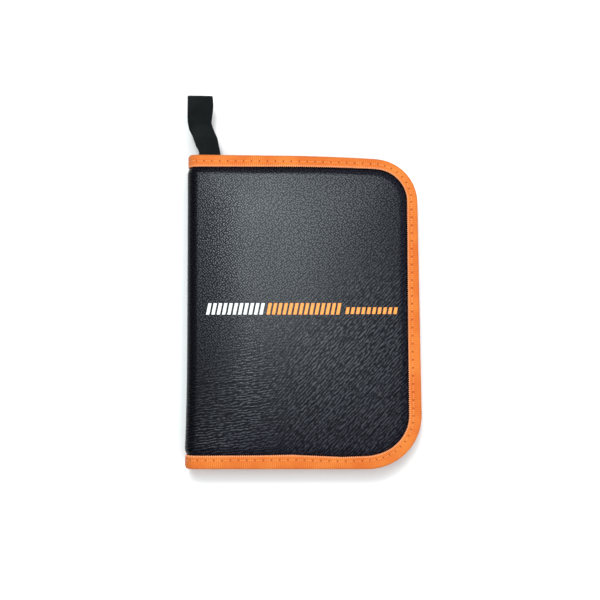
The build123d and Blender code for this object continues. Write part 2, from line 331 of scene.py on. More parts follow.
def band(name, upper, lower, flat, material):
    """A closed strip from its upper and lower faces, each with shape (stations, points across, 3)."""
    verts, faces = swept(np.concatenate([upper, lower[:, ::-1]], axis=1))
    flat = np.concatenate([flat, flat[:, ::-1]], axis=1).reshape(-1, 3)
    return make_object(name, verts, faces, flat, material, sharp=70)


def tube(points, outward, radius, sides=6):
    """A round thread or wire along points. outward is a direction across it, one for each point."""
    points = np.asarray(points, float)
    tangent = np.gradient(points, axis=0)
    tangent /= np.linalg.norm(tangent, axis=1, keepdims=True)
    binormal = np.cross(tangent, outward)
    binormal /= np.linalg.norm(binormal, axis=1, keepdims=True)
    normal = np.cross(binormal, tangent)
    angles = np.linspace(0, 2 * math.pi, sides, endpoint=False)
    cosines, sines = np.cos(angles)[None, :, None], np.sin(angles)[None, :, None]
    rows = points[:, None] + (cosines * normal[:, None] + sines * binormal[:, None]) * radius
    verts, faces = swept(rows)
    return verts, faces, flat_grid(run_length(points), radius * angles)


def triangulate(points):
    """Triangles over flat points that fill a convex outline, without slivers along a straight edge."""
    scaled = [Vector((float(s) / MM, float(y) / MM)) for s, y in points]
    result = geometry.delaunay_2d_cdt(scaled, [], [], 0, 1e-4)
    merged = np.array([[v.x * MM, v.y * MM] for v in result[0]])
    triangles = np.array(result[2])
    sides = merged[np.roll(triangles, -1, axis=1)] - merged[triangles]
    longest = np.hypot(sides[:, :, 0], sides[:, :, 1]).max(axis=1)
    double_area = np.abs(sides[:, 0, 0] * sides[:, 1, 1] - sides[:, 0, 1] * sides[:, 1, 0])
    triangles = triangles[double_area > longest * SLIVER_HEIGHT]
    return merged, [tuple(f) for f in triangles.tolist()]


def sheet_points(insets, start=0.0, spacing=3.5 * MM, step=1.5 * MM, start_inset=0.0):
    """Flat points in rings along the sewn edges, and in a grid over the middle."""
    first = start + start_inset
    s, y, ns, ny, _ = edge_path(step, first)
    points = [np.stack([np.maximum(s + ns * d, first), y + ny * d], -1) for d in insets]
    columns = np.arange(start, FORE_END, spacing)
    if start < COVER_START:
        over_spine = np.arange(first, COVER_START + 3 * MM, 1.2 * MM)
        columns = np.concatenate([over_spine, np.arange(COVER_START + 4 * MM, FORE_END, spacing)])
    gs, gy = np.meshgrid(columns, np.arange(BOTTOM, TOP, spacing))
    inside = edge_distance(gs, gy) > insets[-1] + spacing / 2
    points.append(np.stack([gs[inside], gy[inside]], -1))
    return np.concatenate(points)


def closed_sheet(side, s, y, faces, outer_depth, inner_depth):
    """A closed sheet between two depths, from flat points and the faces over them."""
    count = len(s)
    verts = np.concatenate([place(side, s, y, outer_depth), place(side, s, y, inner_depth)])
    edges = dict.fromkeys(edge for face in faces for edge in zip(face, face[1:] + face[:1]))
    rim = [(b, a, a + count, b + count) for a, b in edges if (b, a) not in edges]
    faces = faces + [tuple(i + count for i in face) for face in flipped(faces)] + rim
    flat = np.stack([np.tile(s, 2), np.tile(y, 2), np.repeat([0, 1], count) * MM], -1)
    return verts, flipped(faces) if side == "back" else faces, flat


def slab(side, points, outer, inner):
    """A closed sheet over flat points, between two depths that are functions of s and y."""
    points, triangles = triangulate(points)
    s, y = points.T
    return closed_sheet(side, s, y, triangles, outer(s, y), inner(s, y))


def ride_fold(obj, side):
    """Bakes the half sheet's transform into its mesh."""
    spine_point = Vector((LEFT, 0, MID_Z + SPINE_FLAT))
    cover_point = Vector((COVER_START_X, 0, CASE_DEPTH))
    if side == "back":
        spine_point.z = CASE_DEPTH - spine_point.z
        cover_point.z = CASE_DEPTH - cover_point.z
        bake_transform(obj)
    else:
        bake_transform(obj)


# ---------------------------------------------------------------- Materials


class Nodes:
    """A short way to write a material's node tree."""

    def __init__(self, name):
        self.material = bpy.data.materials.new(name)
        self.material.use_nodes = True
        self.tree = self.material.node_tree
        self.shader = self.tree.nodes["Principled BSDF"]

    def link(self, value, socket):
        if isinstance(value, bpy.types.NodeSocket):
            self.tree.links.new(value, socket)
        else:
            socket.default_value = value

    def add(self, kind, inputs=(), **settings):
        node = self.tree.nodes.new(kind)
        for key, value in settings.items():
            setattr(node, key, value)
        for key, value in dict(inputs).items():
            self.link(value, node.inputs[key])
        return node

    def flat(self, stretch=(1, 1, 1), turn=0.0):
        """The place on the flat cloth. A texture on it is drawn out by stretch, along turned axes."""
        source = self.add("ShaderNodeAttribute", attribute_name="flat").outputs["Vector"]
        inputs = {"Vector": source, "Scale": stretch, "Rotation": (0, 0, turn)}
        return self.add("ShaderNodeMapping", inputs, vector_type="TEXTURE").outputs["Vector"]

    def value(self, name):
        return self.add("ShaderNodeAttribute", attribute_name=name).outputs["Fac"]

    def math(self, operation, a, b=0.0):
        return self.add("ShaderNodeMath", {0: a, 1: b}, operation=operation).outputs[0]

    def plus(self, a, b):
        return self.math("ADD", a, b)

    def times(self, a, b):
        return self.math("MULTIPLY", a, b)

    def wave(self, distance, pitch):
        """A sine that repeats every pitch."""
        return self.math("SINE", self.times(distance, 2 * math.pi / pitch))

    def vector_math(self, operation, inputs):
        return self.add("ShaderNodeVectorMath", inputs, operation=operation).outputs[0]

    def axis(self, vector, name):
        return self.add("ShaderNodeSeparateXYZ", {0: vector}).outputs[name]

    def noise(self, vector, scale, detail=3.0, output="Fac"):
        inputs = {"Vector": vector, "Scale": scale, "Detail": detail}
        return self.add("ShaderNodeTexNoise", inputs).outputs[output]

    def cells(self, vector, scale, randomness=1.0, dimensions="2D"):
        inputs = {"Vector": vector, "Scale": scale, "Randomness": randomness}
        return self.add("ShaderNodeTexVoronoi", inputs, voronoi_dimensions=dimensions).outputs["Distance"]

    def remap(self, value, low, high, to_low=0.0, to_high=1.0):
        inputs = {0: value, 1: low, 2: high, 3: to_low, 4: to_high}
        return self.add("ShaderNodeMapRange", inputs, interpolation_type="SMOOTHSTEP").outputs[0]

    def mix(self, factor, a, b):
        return self.add("ShaderNodeMix", {0: factor, 6: a, 7: b}, data_type="RGBA").outputs[2]

    def blend(self, factor, a, b):
        return self.add("ShaderNodeMix", {0: factor, 2: a, 3: b}, data_type="FLOAT").outputs[0]

    def bump(self, height, distance, strength):
        inputs = {"Height": height, "Distance": distance, "Strength": strength}
        return self.add("ShaderNodeBump", inputs).outputs["Normal"]

    def finish(self, color, roughness, normal=None, **constants):
        self.link(color, self.shader.inputs["Base Color"])
        self.link(roughness, self.shader.inputs["Roughness"])
        if normal is not None:
            self.link(normal, self.shader.inputs["Normal"])
        for key, value in constants.items():
            self.shader.inputs[key.replace("_", " ")].default_value = value
        return self.material


def rgb(red, green, blue, share=1.0):
    """A shader colour, darkened to a share of itself."""
    return (share * red, share * green, share * blue, 1.0)


def pebble_height(nodes, vector):
    """Height of a pebble grain: close-set round domes with finer ones over them."""
    wander = nodes.noise(vector, 200.0, 1.0, "Color")
    centred = nodes.vector_math("SUBTRACT", {0: wander, 1: (0.5, 0.5, 0.5)})
    shift = nodes.vector_math("SCALE", {0: centred, "Scale": PEBBLE_WANDER})
    moved = nodes.vector_math("ADD", {0: vector, 1: shift})
    domes = nodes.remap(nodes.cells(moved, 610.0, 0.65), 0.0, 0.52, 1.0, 0.0)
    fine = nodes.remap(nodes.cells(moved, 1300.0, 0.9), 0.1, 0.6, 1.0, 0.0)
    return nodes.plus(nodes.times(domes, 0.78), nodes.times(fine, 0.22))


def streak_height(nodes, turn):
    """Height of a drawn-out grain: short, packed ridges that run along the turned first axis."""
    vector = nodes.flat((2.3, 1.0, 1), turn)
    wander = nodes.noise(vector, 260.0, 2.0)
    row = nodes.math("DIVIDE", nodes.axis(nodes.flat(turn=turn), "Y"), STREAK_PITCH)
    ridges = nodes.wave(nodes.plus(row, nodes.times(wander, 2.2)), 1.0)
    breaks = nodes.times(nodes.math("SUBTRACT", nodes.noise(vector, 760.0, 1.0), 0.5), 5.5)
    # Painted shade: this remap keeps the streaks low on average, which darkens the leather's colour and
    # shine where they lie, over the lower part of the cover.
    return nodes.remap(nodes.plus(ridges, breaks), -0.8, 1.9)


def leather():
    """Grained leathercloth: round pebbles at the spine's head, drawn out towards the lower fore edge."""
    nodes = Nodes("grained_leather")
    plain = nodes.flat()
    even = pebble_height(nodes, nodes.flat(turn=math.radians(38)))
    slanted = streak_height(nodes, math.radians(48))
    level = streak_height(nodes, math.radians(8))
    across = nodes.axis(plain, "X")
    up = nodes.axis(plain, "Y")
    towards_fore_edge = nodes.remap(across, 0.05, 0.11)
    stretched = nodes.blend(towards_fore_edge, level, slanted)
    lower_right = nodes.math("SUBTRACT", nodes.times(across, 0.6), up)
    height = nodes.blend(nodes.remap(lower_right, 0.0, 0.13, 0.0, 0.9), even, stretched)
    # Painted shade: the crease attribute darkens and dulls the leather by the seam and over the spine.
    crease = nodes.value("crease")
    # Painted shade: the grain's low places take a darker colour than its tops.
    color = nodes.mix(height, rgb(0.0026, 0.0026, 0.005), rgb(0.0135, 0.0145, 0.026))
    color = nodes.mix(crease, color, rgb(0.001, 0.001, 0.001))
    roughness = nodes.remap(nodes.noise(plain, 30.0), 0.3, 0.7, 0.29, 0.32)
    shine = nodes.remap(height, 0.1, 0.85, 0.17, 0.68)
    unshaded = nodes.math("SUBTRACT", 1.0, crease)
    nodes.link(nodes.times(shine, unshaded), nodes.shader.inputs["Specular IOR Level"])
    return nodes.finish(color, roughness, nodes.bump(height, 0.095 * MM, 0.65))


def ribbed_tape():
    """Folded polyester tape: cross ribs, fine warp threads, and needle holes with painted shade in them."""
    nodes = Nodes("orange_binding")
    vector = nodes.flat()
    along = nodes.axis(vector, "X")
    across = nodes.axis(vector, "Y")
    rib = nodes.wave(along, RIB_PITCH)
    warp = nodes.wave(across, 0.5 * MM)
    fuzz = nodes.noise(nodes.flat((1, 3, 1)), 2200.0, 4.0)
    height = nodes.plus(nodes.times(rib, 0.5), nodes.times(warp, 0.16))
    height = nodes.plus(height, nodes.times(fuzz, 0.5))
    tone = nodes.remap(nodes.noise(vector, 45.0, 4.0), 0.3, 0.7)
    color = nodes.mix(tone, rgb(0.64, 0.148, 0.024), rgb(0.73, 0.218, 0.040))
    # Painted shade: the troughs between the ribs are darker.
    color = nodes.mix(nodes.remap(rib, -1.0, 0.2, 0.35, 0.0), color, rgb(0.45, 0.06, 0.006))
    # The free edge's pale thread, with a painted highlight on the ribs' crests there.
    bead = nodes.times(nodes.value("selvedge"), nodes.remap(rib, -0.8, 0.3, 0.15, 0.9))
    color = nodes.mix(bead, color, rgb(0.95, 0.42, 0.22))
    # Painted shade in the needle holes.
    pit = nodes.remap(nodes.value("pit"), 0.15, 0.8, 0.0, 0.9)
    color = nodes.mix(pit, color, rgb(0.20, 0.018, 0.002))
    normal = nodes.bump(height, 0.14 * MM, 0.8)
    return nodes.finish(color, 0.7, normal, Specular_IOR_Level=0.25, Sheen_Weight=0.08, Sheen_Roughness=0.4)


def thread(name, color):
    """Twisted sewing thread."""
    nodes = Nodes(name)
    vector = nodes.flat()
    lay = nodes.plus(nodes.axis(vector, "X"), nodes.times(nodes.axis(vector, "Y"), 1.2))
    ply = nodes.wave(lay, 0.45 * MM)
    # Painted shade: the grooves between the plies take a darker copy of the colour.
    shade = nodes.mix(nodes.remap(ply, -1, 0.5), rgb(*color, 0.6), rgb(*color))
    return nodes.finish(shade, 0.5, nodes.bump(ply, 0.05 * MM, 0.6), Sheen_Weight=0.3)


def woven(name, color, worn_and_sheen_color, pitches, roughness=0.7, sheen=0.3, twill=0.0, depth=0.12 * MM):
    """Cloth of crossing threads, at warp and weft pitches. twill slants each row by a share of a thread."""
    nodes = Nodes(name)
    vector = nodes.flat()
    u = nodes.math("DIVIDE", nodes.axis(vector, "X"), pitches[0])
    v = nodes.math("DIVIDE", nodes.axis(vector, "Y"), pitches[1])
    warp = nodes.wave(nodes.plus(u, nodes.times(v, twill)), 1.0)
    weave = nodes.times(warp, nodes.wave(v, 1.0))
    fuzz = nodes.noise(vector, 3000.0)
    height = nodes.plus(nodes.times(weave, 0.5), nodes.times(fuzz, 0.4))
    # Lighter patches at random: partly wear, partly painted sheen.
    wear_and_sheen = nodes.remap(nodes.noise(vector, 55.0, 5.0), 0.35, 0.75, 0.0, 0.35)
    # Painted shade: the weave's low places take a darker copy of the colour.
    shade = nodes.mix(nodes.remap(height, -0.4, 0.7), rgb(*color, 0.5), rgb(*color))
    shade = nodes.mix(wear_and_sheen, shade, rgb(*worn_and_sheen_color))
    normal = nodes.bump(height, depth, 0.8)
    return nodes.finish(shade, roughness, normal, Specular_IOR_Level=0.25, Sheen_Weight=sheen)


def enamelled_metal():
    """Black enamel, worn through to bare metal on the edges."""
    nodes = Nodes("zip_metal")
    edge = nodes.add("ShaderNodeNewGeometry").outputs["Pointiness"]
    uneven = nodes.times(nodes.noise(nodes.flat(), 900.0), 0.06)
    worn = nodes.remap(nodes.plus(edge, uneven), 0.56, 0.62)
    color = nodes.mix(worn, rgb(0.012, 0.012, 0.013), rgb(0.32, 0.31, 0.30))
    scratches = nodes.noise(nodes.flat((5, 0.25, 1)), 1500.0, 4.0)
    roughness = nodes.remap(scratches, 0.3, 0.7, 0.22, 0.42)
    normal = nodes.bump(scratches, 0.02 * MM, 0.4)
    return nodes.finish(color, roughness, normal, Metallic=0.4, Coat_Weight=0.4)


def nylon():
    """Nylon of the zip's coil, dulled by dust."""
    nodes = Nodes("zip_coil")
    dust = nodes.noise(nodes.flat(), 700.0, 4.0)
    color = nodes.mix(nodes.remap(dust, 0.4, 0.7), rgb(0.012, 0.012, 0.013), rgb(0.028, 0.028, 0.03))
    return nodes.finish(color, nodes.remap(dust, 0.3, 0.7, 0.25, 0.4), Specular_IOR_Level=0.6)


def porous(name, color, scale):
    """Foam or board: an even material with fine open pores or fibres."""
    nodes = Nodes(name)
    source = nodes.add("ShaderNodeTexCoord").outputs["Object"]
    cells = nodes.cells(source, scale, dimensions="3D")
    shade = nodes.mix(nodes.remap(cells, 0.1, 0.6), rgb(*color), rgb(*color, 0.55))
    return nodes.finish(shade, 0.9, nodes.bump(cells, 0.1 * MM, 0.6))


def ink(name, color):
    """Screen-printed ink that has sunk into the grain."""
    nodes = Nodes(name)
    grain = pebble_height(nodes, nodes.flat())
    worn = nodes.plus(grain, nodes.times(nodes.noise(nodes.flat(), 500.0), 0.3))
    # Darker where the grain is low, and in random patches: painted shade in the grain's valleys, and uneven
    # wear.
    shade = nodes.mix(nodes.remap(worn, 0.05, 0.22), rgb(*color, 0.45), rgb(*color))
    return nodes.finish(shade, 0.42, nodes.bump(grain, 0.2 * MM, 0.5))


RIB_PITCH = 1.55 * MM
STREAK_PITCH = 2.1 * MM
PEBBLE_WANDER = 0.7 * MM
LEATHER = leather()
BINDING = ribbed_tape()
BINDING_THREAD = thread("binding_thread", (0.95, 0.36, 0.10))
BLACK_THREAD = thread("black_thread", (0.02, 0.02, 0.022))
WEBBING = woven(
    "black_webbing", (0.003, 0.0042, 0.0047), (0.014, 0.018, 0.019), (1.5 * MM, 0.9 * MM), 0.8, 0.01
)
ZIP_TAPE = woven("zip_tape", (0.012, 0.012, 0.013), (0.02, 0.02, 0.022), (0.8 * MM, 0.8 * MM), twill=0.5)
ELASTIC = woven(
    "elastic", (0.016, 0.016, 0.018), (0.03, 0.03, 0.032), (2.4 * MM, 1.1 * MM), depth=0.25 * MM
)
POCKET_CLOTH = woven(
    "pocket_cloth", (0.016, 0.017, 0.019), (0.024, 0.025, 0.028), (0.9 * MM, 0.9 * MM), 0.55
)
LINING = woven("lining_cloth", (0.22, 0.23, 0.235), (0.30, 0.31, 0.31), (1.1 * MM, 1.1 * MM), 0.42, 0.1)
COIL = nylon()
METAL = enamelled_metal()
FOAM = porous("foam", (0.10, 0.10, 0.105), 1800.0)
BOARD = porous("board", (0.42, 0.38, 0.32), 900.0)
WHITE_INK = ink("white_ink", (0.86, 0.87, 0.88))
ORANGE_INK = ink("orange_ink", (0.93, 0.32, 0.05))

# ---------------------------------------------------------------- Leather

DIP_WIDTH = 6.0 * MM
SEAM_RIDGE = 0.5 * MM
CROWN = 1.5 * MM
CROWN_SPREAD = 25 * MM
CROWN_CENTRE = 0.35
SPINE_FALL = 1.0 * MM
SKIN_WAVE = 0.10 * MM
# Painted shade, kept in the crease attribute: the leather is darker, and loses its shine, in the
# seam beside the binding, over the spine and on the strip of cover beside it. For the last two: how
# much, how far on to the cover that ends, and the width that it fades over.
SEAM_SHADE_WIDTH = 0.9 * MM
SPINE_SHADE, SPINE_SHADE_END, SPINE_SHADE_WIDTH = 0.6, 7 * MM, 11 * MM
STRIP_SHADE, STRIP_SHADE_END, STRIP_SHADE_WIDTH = 0.42, 21 * MM, 20 * MM


def skin_depth(side):
    """Depth of the leather's outer face: level under the binding, then up over the padding."""

    def depth(s, y):
        inside = edge_distance(s, y) - leg_width(s, y)
        value = MARGIN_FACE * (1 - smoothstep((inside + 0.4 * MM) / DIP_WIDTH))
        value = value + SEAM_RIDGE * np.exp(-(((inside - 0.4 * MM) / (0.8 * MM)) ** 2))
        if side == "front":
            padded = 1 - np.exp(-np.maximum(inside, 0) / CROWN_SPREAD)
            onto_cover = smoothstep((s - COVER_START + 6 * MM) / (45 * MM))
            wave = SKIN_WAVE * np.sin(s / 0.017 + 1.0 + 8 * y) * np.cos(y / 0.047)
            arch = 1 - ((s - COVER_START - CROWN_CENTRE * (FORE_END - COVER_START)) / FORE_END) ** 2
            value = value + SPINE_FALL * (1 - onto_cover) * smoothstep(s / COVER_START) * padded
            value = value - (CROWN * arch + wave) * padded * onto_cover
        return value

    return depth


SKIN_INSETS = [1.5, 4, 6, 7, 7.6, 8.2, 8.8, 9.4, 10, 10.6, 11.2, 11.9, 12.7, 13.8, 15.2, 17.2, 20, 24]
FOAM_INSETS = [0, 1.5, 3.5, 6, 10, 15]
LINING_INSETS = [1.5, 5, 8, 9.7, 10.3, 10.9, 11.6, 12.6, 14.5, 18]


def spine_shade(s, strength, end, width):
    return strength * smoothstep((COVER_START + end - s) / width)


def make_skin(side):
    outer = skin_depth(side)
    points = sheet_points([d * MM for d in SKIN_INSETS])
    verts, faces, flat = slab(side, points, outer, lambda s, y: outer(s, y) + SKIN_THICKNESS)
    s, y, _ = flat.T
    # Painted shade, kept as the crease attribute: along the binding's seam, over the spine and beside it.
    inside = np.maximum(edge_distance(s, y) - leg_width(s, y) - 0.2 * MM, 0)
    crease = np.maximum.reduce([
        np.exp(-((inside / SEAM_SHADE_WIDTH) ** 2)),
        spine_shade(s, SPINE_SHADE, SPINE_SHADE_END, SPINE_SHADE_WIDTH),
        spine_shade(s, STRIP_SHADE, STRIP_SHADE_END, STRIP_SHADE_WIDTH),
    ])
    skin = make_object(f"leather_{side}", verts, faces, flat, LEATHER, crease=crease)
    ride_fold(skin, side)
    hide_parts(f"{side}_cover_skin", "spine_skin")


def make_foam(side):
    outer = skin_depth(side)
    insets = [CORE_INSET + d * MM for d in FOAM_INSETS]
    points = sheet_points(insets, spacing=6 * MM, step=3 * MM, start_inset=0.5 * MM)

    def top(s, y):
        return outer(s, y) + SKIN_THICKNESS

    def under(s, y):
        on_cover = smoothstep((s - COVER_START) / (3 * MM))
        return SKIN_INNER + (BOARD_OUTER - SKIN_INNER) * on_cover

    verts, faces, flat = slab(side, points, top, under)
    foam = make_object(f"foam_{side}", verts, faces, flat, FOAM)
    ride_fold(foam, side)
    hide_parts(f"{side}_foam_pad", "spine_foam_pad")


def make_lining(side):
    points = sheet_points([d * MM for d in LINING_INSETS], spacing=6 * MM, step=3 * MM)
    rim_inner = LINING_OUTER + LINING_THICKNESS

    def inner(s, y):
        tray = smoothstep((edge_distance(s, y) - WALL_INSET - 0.3 * MM) / (2.2 * MM))
        tray = tray * smoothstep((s - COVER_START - 0.5 * MM) / (3 * MM))
        ripple = 0.12 * MM * np.sin(s / 0.011 + y / 0.03) * np.sin(y / 0.019) * tray
        return rim_inner + (TRAY_INNER - rim_inner) * tray + ripple

    verts, faces, flat = slab(side, points, lambda s, y: inner(s, y) - LINING_THICKNESS, inner)
    lining = make_object(f"lining_{side}", verts, faces, flat, LINING)
    ride_fold(lining, side)
    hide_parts(f"{side}_lining", "spine_lining")


# ---------------------------------------------------------------- Binding and its stitches

STITCH_PITCH = 6.2 * MM
STITCH_GAP = 1.0 * MM
FIRST_STITCH = 3.5 * MM
STITCH_RADIUS = 0.21 * MM
STITCH_WANDER = 0.12 * MM
HOLE_RADIUS = 0.55 * MM
HOLE_DEPTH = 0.4 * MM
BINDING_MID = (BINDING_OUTER + BINDING_INNER) / 2
MEAN_LEG = 8.5 * MM
# How far across the binding the seam lies, at shares of the case's height.
SEAM_SHARES = np.transpose([(0, 0.66), (0.5, 0.67), (0.85, 0.6), (1, 0.54)])
# The outer half of the folded tape's section, from the leg's free edge to the fold. Each point is a
# share of the leg's width and a depth in millimetres. The stitches sink in at STITCH_SHARE.
STITCH_SHARE = 0.62
LEG_SECTION = [
    (1.0, 1.52), (0.998, 1.05), (0.965, 0.80), (0.86, 0.65), (0.75, 0.60), (0.68, 0.64), (0.62, 0.74),
    (0.56, 0.64), (0.50, 0.60), (0.38, 0.60), (0.25, 0.68), (0.135, 0.95), (0.053, 1.45), (0.009, 2.15),
]
# The tape's inner face, from the inner leg's free edge round the fold to the outer leg's.
FOLD_INSIDE = [(0.98, 3.7), (0.2, 3.7), (0.11, 3.3), (0.094, 2.65), (0.11, 2.0), (0.2, 1.6), (0.98, 1.6)]


def stitch_inset(s, y):
    """The seam runs near the binding's inner edge along the foot, and nearer its middle at the top."""
    return leg_width(s, y) * np.interp(height_share(y), *SEAM_SHARES)


def needle_holes(along):
    """How near a place along the edge is to a needle hole, from 0 to 1."""
    offset = (along - FIRST_STITCH + STITCH_PITCH / 2) % STITCH_PITCH - STITCH_PITCH / 2
    return np.exp(-((offset / HOLE_RADIUS) ** 2))


def make_binding(side):
    edge = edge_path(RIB_PITCH / 6)
    s, y, _, _, along = edge
    leg = np.array(LEG_SECTION) * (1, MM)
    mirrored = np.stack([leg[::-1, 0], 2 * BINDING_MID - leg[::-1, 1]], -1)
    section = np.concatenate([leg, [[0, BINDING_MID]], mirrored, np.array(FOLD_INSIDE) * (1, MM)])
    exposed = 2 * len(leg) + 1
    width = leg_width(s, y)[:, None]
    seam = stitch_inset(s, y)[:, None]
    share = section[:, 0][None]
    on_inner_part = np.clip((share - STITCH_SHARE) / (1 - STITCH_SHARE), 0, 1)
    inset = np.minimum(share / STITCH_SHARE, 1) * seam + on_inner_part * (width - seam)
    depth = np.tile(section[:, 1], (len(s), 1))
    rib = np.cos(2 * math.pi * along / RIB_PITCH)[:, None]
    outward = np.sign(depth - BINDING_MID)
    outward[:, exposed:] = 0
    free_edge = np.zeros(len(section))
    free_edge[[0, 1, exposed - 2, exposed - 1]] = 1
    inset = inset + 0.35 * MM * rib * free_edge
    near_line = np.exp(-(((inset - seam) / (0.75 * MM)) ** 2))
    pit = needle_holes(along)[:, None] * near_line * np.abs(outward)
    depth = depth + outward * (0.05 * MM * rib - HOLE_DEPTH * pit)
    selvedge = np.broadcast_to(smoothstep((share - 0.88) / 0.08) * np.abs(outward), depth.shape)
    verts, faces = swept(edge_rings(side, edge, inset, depth))
    if side == "front":
        faces = flipped(faces)
    flat = flat_grid(along, run_length(section * (MEAN_LEG, 1)))
    binding = make_object(f"binding_{side}", verts, faces, flat, BINDING, pit=pit, selvedge=selvedge)
    ride_fold(binding, side)
    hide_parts(f"{side}_binding", "spine_binding_top", "spine_binding_bottom")
    make_binding_thread(side, edge)


def make_binding_thread(side, edge):
    """Lockstitches through the binding: one thread on its outer leg and one on its inner leg."""
    turn = 0.5 - 0.5 * np.cos(np.linspace(0, math.pi, 9))
    lift = 1 - np.abs(2 * turn - 1) ** 6
    outer_depth = (1.1 - 0.46 * lift) * MM
    inner_depth = 2 * BINDING_MID - outer_depth
    parts = []
    for i in range(int((edge_length(edge) - 2 * FIRST_STITCH) / STITCH_PITCH)):
        at = FIRST_STITCH + STITCH_PITCH * i + STITCH_GAP / 2 + turn * (STITCH_PITCH - STITCH_GAP)
        inset = stitch_inset(*edge_points(edge, at, 0)) + RNG.normal(0, STITCH_WANDER)
        path = edge_points(edge, at, inset)
        for depth, outwards in ((outer_depth, -1 * MM), (inner_depth, 1 * MM)):
            points = place(side, *path, depth)
            parts.append(tube(points, place(side, *path, depth + outwards) - points, STITCH_RADIUS))
    stitches = make_object(f"binding_thread_{side}", *join(parts), BINDING_THREAD)
    ride_fold(stitches, side)


# ---------------------------------------------------------------- Zip

COIL_PITCH = 1.3 * MM
COIL_WIRE = 0.3 * MM
COIL_SAMPLES = 14
COIL_SQUARENESS = 0.75
TAPE_START = 21.2 * MM
TAPE_END = CHAIN_OUTER + 0.8 * MM
TAPE_BELLY = 0.7 * MM
TAPE_SEAM_PITCH = 2.2 * MM


def tape_belly(height):
    """How far the tape's wall bellies outwards at a share of its height."""
    return TAPE_BELLY * np.sin(math.pi * height)


def make_zip_tape(side):
    """A flange under the binding's inner leg, and a wall that stands up to the coil."""
    edge = edge_path(2 * MM, TAPE_START)
    wall_outer = WALL_INSET - TAPE_THICKNESS / 2
    wall_inner = WALL_INSET + TAPE_THICKNESS / 2
    base = TAPE_OUTER
    heights = np.linspace(0.15, 1, 9)
    wall = np.stack([-tape_belly(heights), base + (TAPE_END - base) * heights], -1)
    section = np.concatenate([
        [(1.5 * MM, base), (wall_inner - 0.8 * MM, base), (wall_inner, base + 0.8 * MM)],
        wall + (wall_inner, 0),
        wall[::-1] + (wall_outer, 0),
        [(wall_outer, base + 1.1 * MM), (wall_outer - 0.5 * MM, base + TAPE_THICKNESS)],
        [(1.5 * MM, base + TAPE_THICKNESS)],
    ])
    inset, depth = section.T[:, None, :]
    verts, faces = swept(edge_rings(side, edge, inset, depth))
    if side == "back":
        faces = flipped(faces)
    *_, along = edge
    flat = flat_grid(along, run_length(section))
    tape = make_object(f"zip_tape_{side}", verts, faces, flat, ZIP_TAPE, sharp=60)
    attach(tape, f"{side}_cover")
    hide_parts(f"{side}_zip_tape")
    make_tape_seams(side, edge)


def make_tape_seams(side, edge):
    """Two rows of stitches that hold the coil to its tape."""
    parts = []
    lift = np.array([-0.2, 0.16, 0.2, 0.16, -0.2]) * MM
    for depth in (CHAIN_OUTER - 0.9 * MM, CHAIN_OUTER - 0.1 * MM):
        belly = tape_belly((depth - TAPE_OUTER) / (TAPE_END - TAPE_OUTER))
        inset = WALL_INSET - TAPE_THICKNESS / 2 - lift - belly
        for i in range(int(edge_length(edge) / TAPE_SEAM_PITCH) - 1):
            at = TAPE_SEAM_PITCH * (i + 0.6 + np.linspace(0, 0.8, len(lift)))
            points = place(side, *edge_points(edge, at, inset), depth)
            parts.append(tube(points, np.tile((0, 0, 1.0), (len(lift), 1)), 0.16 * MM, 5))
    seams = make_object(f"zip_tape_seams_{side}", *join(parts), BLACK_THREAD)
    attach(seams, f"{side}_cover")


def squared(wave):
    """A sine or cosine pressed towards a square wave, for a flattened coil."""
    return np.sign(wave) * np.abs(wave) ** COIL_SQUARENESS


def make_coil(side):
    """A nylon monofilament wound into a flattened coil, whose turns are the teeth."""
    edge = edge_path(1 * MM, flat_s(coil_low.x))
    turns = int(edge_length(edge) / COIL_PITCH)
    phase = np.arange(turns * COIL_SAMPLES) / COIL_SAMPLES
    at = phase * COIL_PITCH
    if side == "back":
        phase = phase + 0.5
    angle = 2 * math.pi * phase
    half_thickness = WALL_INSET - COIL_INSET - COIL_WIRE
    head = MID_Z + 0.25 * MM - COIL_WIRE
    foot = CHAIN_OUTER + COIL_WIRE
    centre = (head + foot) / 2
    inset = WALL_INSET + half_thickness * squared(np.cos(angle))
    depth = centre + (head - foot) / 2 * squared(np.sin(angle))
    points = place(side, *edge_points(edge, at, inset), depth)
    outward = points - place(side, *edge_points(edge, at, WALL_INSET), centre)
    coil = make_object(f"zip_coil_{side}", *tube(points, outward, COIL_WIRE, 5), COIL, sharp=80)
    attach(coil, f"{side}_cover")
    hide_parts(f"{side}_zip_coil")


def rounded_solid(name, outline, axis, low, high, bevel, material, holes=()):
    """An extruded outline with rounded edges. outline and holes hold points across the given axis."""
    curve = bpy.data.curves.new(name, "CURVE")
    curve.dimensions = "2D"
    curve.fill_mode = "BOTH"
    for loop in (outline, *holes):
        spline = curve.splines.new("POLY")
        spline.points.add(len(loop) - 1)
        for point, (u, v) in zip(spline.points, loop):
            point.co = (u, v, 0, 1)
        spline.use_cyclic_u = True
    curve.extrude = (high - low) / 2 - bevel
    curve.bevel_depth = bevel
    curve.bevel_resolution = 2
    curve.offset = -bevel
    holder = bpy.data.objects.new(name + "_curve", curve)
    bpy.context.scene.collection.objects.link(holder)
    bpy.context.view_layer.update()
    mesh = bpy.data.meshes.new_from_object(holder.evaluated_get(bpy.context.evaluated_depsgraph_get()))
    bpy.data.objects.remove(holder)
    co = np.array([v.co for v in mesh.vertices]).reshape(-1, 3)
    middle = (low + high) / 2
    order = {"y": (co[:, 0], middle - co[:, 2], co[:, 1]), "z": (co[:, 0], co[:, 1], middle + co[:, 2])}
    verts = np.stack(order[axis], -1)
    faces = [tuple(p.vertices) for p in mesh.polygons]
    bpy.data.meshes.remove(mesh)
    return make_object(name, verts, faces, verts, material, sharp=50)


